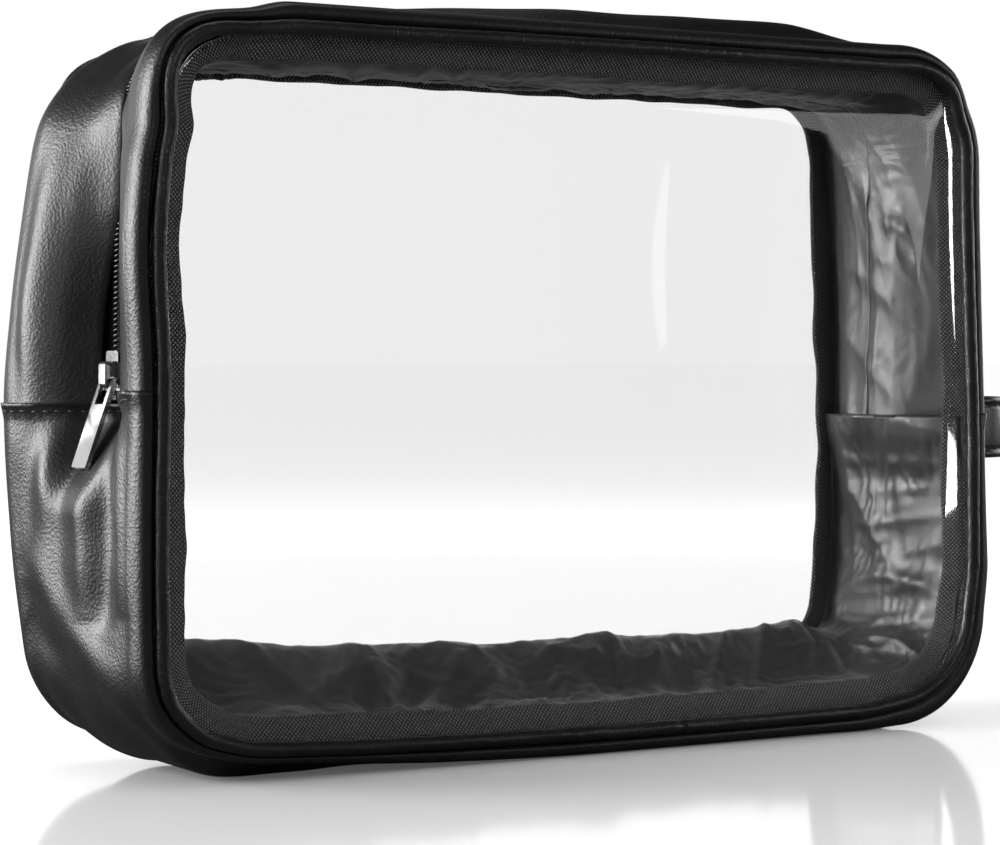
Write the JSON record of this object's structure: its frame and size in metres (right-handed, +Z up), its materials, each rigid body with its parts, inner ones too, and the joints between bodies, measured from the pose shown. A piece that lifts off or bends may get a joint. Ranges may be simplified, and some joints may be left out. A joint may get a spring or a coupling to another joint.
{
  "type": "makeup bag",
  "caption": "Clear-windowed makeup bag with a leather gusset, piped edges, a zipped top with a swinging metal puller, and a side grab handle.",
  "frame": {"origin": "centre of the flat base", "axes": "+Z up, +X towards the grab handle end, -Y towards the front window"},
  "size_m": [0.3173, 0.0748, 0.203],
  "materials": {
    "clear_sheet": "clear, glossy",
    "leather": "satin, fine pebble grain",
    "cord": "matte",
    "binding": "coarse weave",
    "lining": "satin weave",
    "zip_tape": "herringbone weave",
    "zip_coil": "semi-gloss",
    "thread": "satin thread",
    "chrome": "polished",
    "spring_steel": "plain"
  },
  "bodies": {
    "bag": {"front_window": "clear_sheet", "back_window": "clear_sheet", "front_piping_sleeve": "leather", "back_piping_sleeve": "leather", "front_piping_cord": "cord", "back_piping_cord": "cord", "front_seam_binding": "binding", "back_seam_binding": "binding", "front_zip_gusset": "leather", "back_zip_gusset": "leather", "lower_gusset": "leather", "front_zip_lining": "lining", "back_zip_lining": "lining", "lower_lining": "lining", "front_zip_tape": "zip_tape", "back_zip_tape": "zip_tape", "front_zip_coil": "zip_coil", "back_zip_coil": "zip_coil", "closed_end_stops": "chrome", "open_end_stop": "chrome", "front_zip_stitches": "thread", "back_zip_stitches": "thread", "left_seam_stitches": "thread", "right_seam_stitches": "thread", "handle_face": "leather", "handle_backing": "leather", "handle_stitches": "thread"},
    "slider": {"slider_body": "chrome", "slider_bridge": "chrome", "slider_lock_spring": "spring_steel"},
    "puller": {"puller_tab": "chrome"}
  },
  "joints": [
    {"name": "slider_travel", "type": "slide", "parent": "bag", "child": "slider", "axis": [0, 0, 1], "range_m": [0, 0.03]},
    {"name": "puller_swing", "type": "hinge", "parent": "slider", "child": "puller", "pos_m": [-0.1361, 0, 0.1042], "axis": [0, 1, 0], "range_deg": [0, 150]}
  ]
}
